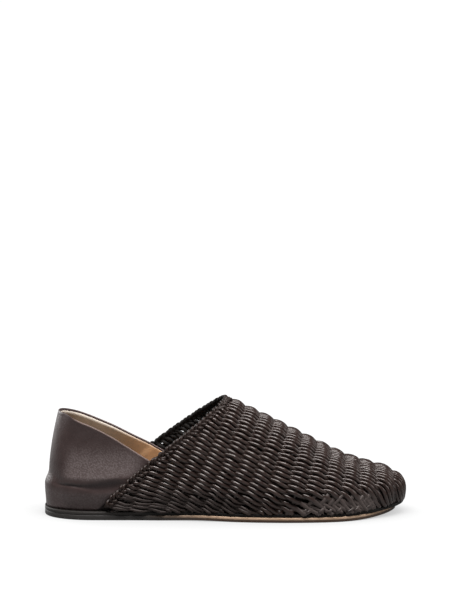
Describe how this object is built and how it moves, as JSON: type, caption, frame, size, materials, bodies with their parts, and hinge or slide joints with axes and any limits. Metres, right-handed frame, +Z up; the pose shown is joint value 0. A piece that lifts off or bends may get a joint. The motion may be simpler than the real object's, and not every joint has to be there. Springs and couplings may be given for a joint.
{
  "type": "closed-back mule",
  "caption": "Slip-on leather mule with a woven cord vamp, plaited slanting collar, smooth closed leather back, low wrapped wedge heel and thin layered sole.",
  "frame": {"origin": "middle of the footprint's bounding box, on the floor under the sole", "axes": "+X towards the toe, +Y towards the inner side of a right foot, +Z up"},
  "size_m": [0.255, 0.0924, 0.0823],
  "materials": {
    "sole_leather": "natural vegetable-tanned edge, blackened at the heel",
    "black_edge": "black dyed edge, matt",
    "heel_leather": "smooth dark brown, satin",
    "lining_leather": "undyed tan lining, matt",
    "back_leather": "smooth dark brown, fine grain, satin",
    "woven_leather": "waxed dark brown cord",
    "plait_leather": "waxed dark brown cord"
  },
  "bodies": {
    "root": {"outsole": "sole_leather", "midsole": "black_edge", "heel_wedge": "heel_leather", "insole": "lining_leather", "quarter": "back_leather", "vamp": "woven_leather", "collar_plait": "plait_leather"}
  },
  "joints": []
}
